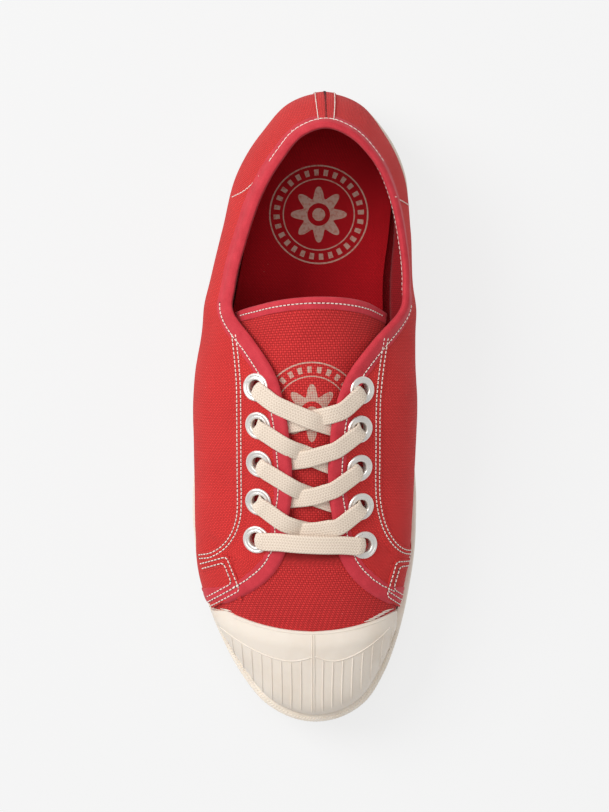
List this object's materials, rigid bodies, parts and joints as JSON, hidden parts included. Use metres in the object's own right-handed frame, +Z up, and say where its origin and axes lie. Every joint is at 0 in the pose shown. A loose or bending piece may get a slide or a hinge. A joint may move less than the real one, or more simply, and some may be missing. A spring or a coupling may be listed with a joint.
{
  "type": "canvas sneaker",
  "caption": "Low red canvas lace-up sneaker for the right foot, with a cream rubber toe cap, foxing band and sole, metal eyelets and flat cotton lace.",
  "frame": {"origin": "on the floor, under the middle of the bounding box of the shoe", "axes": "+Z up, toe towards -Y, outer (lateral) side of this right shoe towards -X, inner (medial) side towards +X"},
  "size_m": [0.0905, 0.253, 0.0744],
  "materials": {
    "canvas": "woven cotton, matt",
    "insole_cloth": "cotton over foam, matt",
    "trim_rubber": "cream, satin",
    "sole_rubber": "cream, matt",
    "eyelet_metal": "polished",
    "lace_cotton": "woven cotton, matt"
  },
  "bodies": {
    "root": {"outsole": "sole_rubber", "foxing": "trim_rubber", "upper": "canvas", "insole": "insole_cloth", "tongue": "canvas", "toe_cap": "trim_rubber", "eyelet_outer_1": "eyelet_metal", "eyelet_outer_2": "eyelet_metal", "eyelet_outer_3": "eyelet_metal", "eyelet_outer_4": "eyelet_metal", "eyelet_outer_5": "eyelet_metal", "eyelet_inner_1": "eyelet_metal", "eyelet_inner_2": "eyelet_metal", "eyelet_inner_3": "eyelet_metal", "eyelet_inner_4": "eyelet_metal", "eyelet_inner_5": "eyelet_metal", "lace_cross_1": "lace_cotton", "lace_cross_2": "lace_cotton", "lace_cross_3": "lace_cotton", "lace_cross_4": "lace_cotton", "lace_bar": "lace_cotton"}
  },
  "joints": []
}
